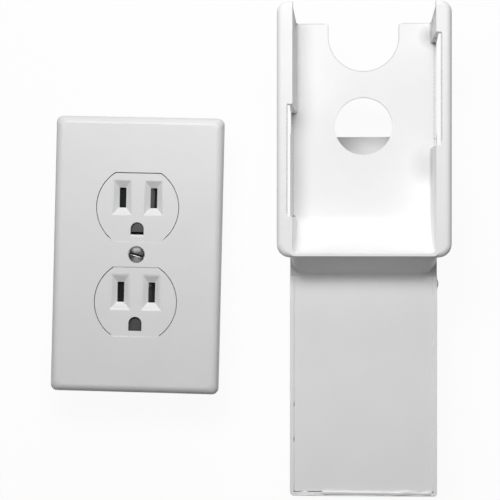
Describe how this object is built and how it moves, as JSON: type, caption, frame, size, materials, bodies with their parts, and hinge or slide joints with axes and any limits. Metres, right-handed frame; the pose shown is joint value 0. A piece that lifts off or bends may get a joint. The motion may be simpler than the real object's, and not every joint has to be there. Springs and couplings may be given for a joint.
{
  "type": "outlet diversion safe",
  "caption": "Dummy duplex outlet face with a quarter-turn latch, beside the in-wall tray and pouch that it hides.",
  "frame": {"origin": "centre of the pouch's back face, which lies on the table", "axes": "+Z out of the wall, from the pouch's back to the flange's front; +Y along the pouch towards the frame's open end; the face unit lies at -X with its front up"},
  "size_m": [0.1643, 0.1987, 0.055],
  "materials": {
    "body_plastic": "matt white moulded plastic",
    "face_plastic": "satin white moulded plastic",
    "dark_plastic": "matt dark plastic",
    "nickel_screw": "nickel-plated, turned face",
    "zinc_steel": "zinc-plated steel"
  },
  "bodies": {
    "body": {"wall_frame": "body_plastic", "pouch_shell": "body_plastic", "pouch_front": "body_plastic"},
    "face_unit": {"faceplate": "face_plastic", "receptacle_upper": "face_plastic", "receptacle_lower": "face_plastic", "rear_strap": "dark_plastic", "strap_screw_1": "zinc_steel", "strap_screw_2": "zinc_steel", "strap_screw_3": "zinc_steel", "strap_screw_4": "zinc_steel"},
    "latch": {"centre_screw": "nickel_screw", "spacer_sleeve": "body_plastic", "latch_bar": "zinc_steel", "washer": "zinc_steel", "lock_nut": "zinc_steel"}
  },
  "joints": [
    {"name": "face_lift", "type": "slide", "parent": "body", "child": "face_unit", "axis": [0, 0, 1], "range_m": [0, 0.06]},
    {"name": "latch_turn", "type": "hinge", "parent": "face_unit", "child": "latch", "pos_m": [-0.09352, 0.0239, 0.0229], "axis": [0, 0, -1], "range_deg": [0, 90]}
  ]
}
